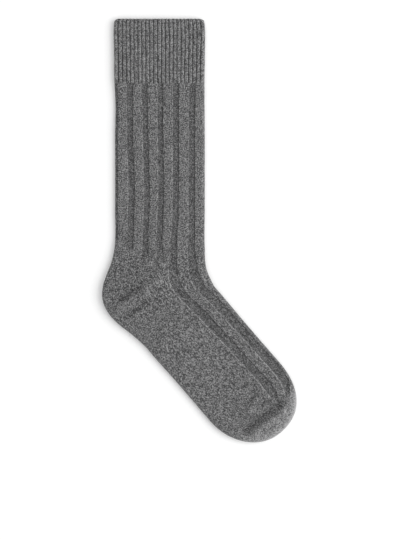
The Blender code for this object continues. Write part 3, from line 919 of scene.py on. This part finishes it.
class Shader:
    """A material's nodes."""

    def __init__(self, name):
        self.material = bpy.data.materials.new(name)
        self.material.use_nodes = True
        self.tree = self.material.node_tree
        self.surface = self.tree.nodes["Principled BSDF"]

    def node(self, kind, settings=None, inputs=None):
        """A node with its settings, then the values or links of its sockets."""
        node = self.tree.nodes.new(kind)
        for name, value in (settings or {}).items():
            setattr(node, name, value)
        for name, value in (inputs or {}).items():
            self.feed(node.inputs[name], value)
        return node

    def feed(self, socket, value):
        if isinstance(value, Value):
            value = value.socket
        if isinstance(value, bpy.types.NodeSocket):
            self.tree.links.new(value, socket)
        else:
            socket.default_value = value

    def maths(self, operation, *values):
        node = self.node("ShaderNodeMath", {"operation": operation}, dict(enumerate(values)))
        return Value(self, node.outputs[0])

    def value(self, kind, output, settings=None, inputs=None):
        return Value(self, self.node(kind, settings, inputs).outputs[output])

    def vector(self, x, y, z):
        return self.node("ShaderNodeCombineXYZ", inputs={0: x, 1: y, 2: z}).outputs[0]

    def noise(self, place, **inputs):
        return self.value("ShaderNodeTexNoise", "Fac", inputs={"Vector": place, **inputs})

    def attribute(self, name):
        return self.value("ShaderNodeAttribute", "Fac", {"attribute_name": name})

    def blend(self, share, first, second):
        """A colour between two."""
        node = self.node("ShaderNodeMix", {"data_type": "RGBA"}, {0: share, 6: first, 7: second})
        return node.outputs[2]

    def finish(self, inputs):
        """The material, with the surface's own values and links."""
        for name, value in inputs.items():
            self.feed(self.surface.inputs[name], value)
        return self.material


def knit_material(context):
    """Heathered wool knit: strands, plies and mixed light and dark fibres, with painted shade between the
    strands and in the purl troughs, and the painted light and shade that each point's light attribute holds.
    """
    if "heathered_knit" in bpy.data.materials:
        return bpy.data.materials["heathered_knit"]
    knit = context.scene.sock_knit
    shader = Shader("heathered_knit")
    stitch = shader.node("ShaderNodeUVMap", {"uv_map": "stitches"}).outputs["UV"]
    parts = shader.node("ShaderNodeSeparateXYZ", inputs={0: stitch})
    wale, course = Value(shader, parts.outputs[0]), Value(shader, parts.outputs[1])
    purl, light, loft = (shader.attribute(name) for name in ("purl", "light", "loft"))
    lean = shader.maths("ABSOLUTE", shader.maths("FRACT", wale) * 2.0 - 1.0)
    knit_phase = course - (lean - 0.5) * SLANT
    purl_phase = course - shader.maths("COSINE", wale * (2 * math.pi)) * PURL_ARC
    phase = knit_phase * (1.0 - purl) + purl_phase * purl
    strand = 0.5 - 0.5 * shader.maths("COSINE", phase * (2 * math.pi))
    arms = shader.maths("ABSOLUTE", shader.maths("SINE", wale * (2 * math.pi)))
    arms = shader.maths("MAXIMUM", arms, purl)
    place = shader.node("ShaderNodeTexCoord").outputs["Object"]
    along_strand = shader.vector(phase * 8.0, wale * 5.0, purl)
    fibres = shader.noise(along_strand, Scale=1.0, Detail=3.0)
    heather = shader.noise(place, Scale=HEATHER_SCALE, Detail=3.0, Roughness=0.65)
    cloud = shader.noise(place, Scale=CLOUD_SCALE, Detail=3.0)
    streaks = shader.noise(shader.vector(wale * 1.7, course * 0.25, 0.0), Scale=1.0, Detail=1.0)
    loop = shader.vector(shader.maths("FLOOR", wale * 2.0), shader.maths("FLOOR", phase), 0.0)
    yarn = shader.value("ShaderNodeTexWhiteNoise", "Value", {"noise_dimensions": "2D"}, {"Vector": loop})
    speckle = (heather - 0.5) * SPECKLE["heather"] + (fibres - 0.5) * SPECKLE["fibres"]
    speckle = speckle + (yarn - 0.5) * SPECKLE["yarn"]
    speckle = speckle + (cloud - 0.5) * SPECKLE["cloud"] + (streaks - 0.5) * SPECKLE["streaks"]
    speckle = speckle * (0.65 + loft * 0.35) * (1.0 - purl * 0.3)
    # the tone, with painted shade between the strands and in the purl troughs, and the painted light and
    # shade of the light attribute
    tone = speckle + strand * arms * loft * STRAND_PAINTED_SHADE + MIDDLE_TONE + light - purl * PURL_PAINTED_SHADE
    share = shader.maths("MINIMUM", shader.maths("MAXIMUM", tone, 0.0), 1.2)
    share = shader.maths("POWER", share, TONE_POWER)
    colour = shader.blend(share, (*knit.dark_yarn, 1.0), (*knit.light_yarn, 1.0))
    height = strand * (0.45 + 0.55 * arms) * loft + (fibres - 0.5) * 0.5 + (heather - 0.5) * 0.6
    bump = shader.node("ShaderNodeBump", inputs={"Strength": 0.8, "Distance": 0.25 * MM, "Height": height})
    return shader.finish(
        {
            "Base Color": colour,
            "Roughness": 0.85 + fibres * 0.15,
            "Normal": bump.outputs[0],
            "Sheen Weight": 0.25,
            "Sheen Roughness": 0.5,
            "Specular IOR Level": 0.15,
        }
    )


def floor_material(context):
    """A matt, pale floor."""
    colour = (*context.scene.sock_stage.floor_colour, 1.0)
    return Shader("pale_floor").finish({"Base Color": colour, "Roughness": 0.9, "Specular IOR Level": 0.1})


def add_light(name, place, aim, size, power):
    """A square soft light that faces a point."""
    bpy.ops.object.light_add(type="AREA", location=place)
    light = bpy.context.object
    light.name = name
    light.data.size = size
    light.data.energy = power
    light.rotation_euler = (light.location - Vector(aim)).to_track_quat("Z", "Y").to_euler()


def lay_out_stage(context):
    """The floor, the sky, the key light and the camera straight above."""
    stage = context.scene.sock_stage
    bpy.ops.object.select_all(action="DESELECT")
    bpy.ops.mesh.primitive_plane_add(size=8.0, location=(0.0, 0.0, -0.0001))
    floor = context.object
    floor.name = "floor"
    bpy.ops.object.transform_apply()
    floor.data.materials.append(floor_material(context))
    world = bpy.data.worlds.new("sky")
    world.use_nodes = True
    background = world.node_tree.nodes["Background"].inputs
    background["Color"].default_value = (1.0, 1.0, 1.0, 1.0)
    background["Strength"].default_value = stage.sky
    context.scene.world = world
    add_light("key_light", KEY_PLACE, KEY_AIM, KEY_SIZE, stage.key_power)
    height = CAMERA_BASE + CAMERA_RISE * stage.lens / CAMERA_LENS
    bpy.ops.object.camera_add(location=(CAMERA_X, CAMERA_Y, height), rotation=(0, 0, 0))
    camera = context.object
    camera.name = "camera"
    camera.data.lens = stage.lens
    context.scene.camera = camera
    context.scene.view_settings.view_transform = "Standard"


class SOCK_OT_knit_cuff(bpy.types.Operator):
    """Knits the cuff in fine rib, with its rounded rim"""

    bl_idname = "sock.knit_cuff"
    bl_label = "Knit the cuff"

    def execute(self, context):
        knit_piece("cuff", context)
        return {"FINISHED"}


class SOCK_OT_knit_leg(bpy.types.Operator):
    """Knits the leg in wide rib"""

    bl_idname = "sock.knit_leg"
    bl_label = "Knit the leg"

    def execute(self, context):
        knit_piece("leg", context)
        return {"FINISHED"}


class SOCK_OT_knit_heel(bpy.types.Operator):
    """Knits the turned heel, with its gore and the ribbed ankle in front"""

    bl_idname = "sock.knit_heel"
    bl_label = "Knit the heel"

    def execute(self, context):
        knit_piece("heel", context)
        return {"FINISHED"}


class SOCK_OT_knit_foot(bpy.types.Operator):
    """Knits the foot: a plain sole and a ribbed instep"""

    bl_idname = "sock.knit_foot"
    bl_label = "Knit the foot"

    def execute(self, context):
        knit_piece("foot", context)
        return {"FINISHED"}


class SOCK_OT_knit_toe(bpy.types.Operator):
    """Knits the plain toe cap, closed at its tip"""

    bl_idname = "sock.knit_toe"
    bl_label = "Knit the toe"

    def execute(self, context):
        knit_piece("toe", context)
        return {"FINISHED"}


class SOCK_OT_lay_out_stage(bpy.types.Operator):
    """Adds the floor, the soft light and the camera"""

    bl_idname = "sock.lay_out_stage"
    bl_label = "Lay out the stage"

    def execute(self, context):
        lay_out_stage(context)
        return {"FINISHED"}


OPERATORS = (
    SOCK_OT_lay_out_stage,
    SOCK_OT_knit_cuff,
    SOCK_OT_knit_leg,
    SOCK_OT_knit_heel,
    SOCK_OT_knit_foot,
    SOCK_OT_knit_toe,
)


class SOCK_PT_panel(bpy.types.Panel):
    """The steps that make the sock"""

    bl_label = "Boot sock"
    bl_idname = "SOCK_PT_panel"
    bl_space_type = "VIEW_3D"
    bl_region_type = "UI"
    bl_category = "Boot sock"

    def draw(self, context):
        for operator in OPERATORS:
            self.layout.operator(operator.bl_idname)
        for group in (context.scene.sock_knit, context.scene.sock_stage):
            for name in group.__annotations__:
                self.layout.prop(group, name)


CLASSES = (SockKnit, SockStage, *OPERATORS, SOCK_PT_panel)


def register():
    for cls in CLASSES:
        bpy.utils.register_class(cls)
    bpy.types.Scene.sock_knit = bpy.props.PointerProperty(type=SockKnit)
    bpy.types.Scene.sock_stage = bpy.props.PointerProperty(type=SockStage)


def unregister():
    del bpy.types.Scene.sock_stage
    del bpy.types.Scene.sock_knit
    for cls in reversed(CLASSES):
        bpy.utils.unregister_class(cls)


def main():
    register()
    bpy.ops.object.select_all(action="DESELECT")
    bpy.ops.sock.lay_out_stage()
    bpy.ops.sock.knit_cuff()
    bpy.ops.sock.knit_leg()
    bpy.ops.sock.knit_heel()
    bpy.ops.sock.knit_foot()
    bpy.ops.sock.knit_toe()


if __name__ == "__main__":
    main()
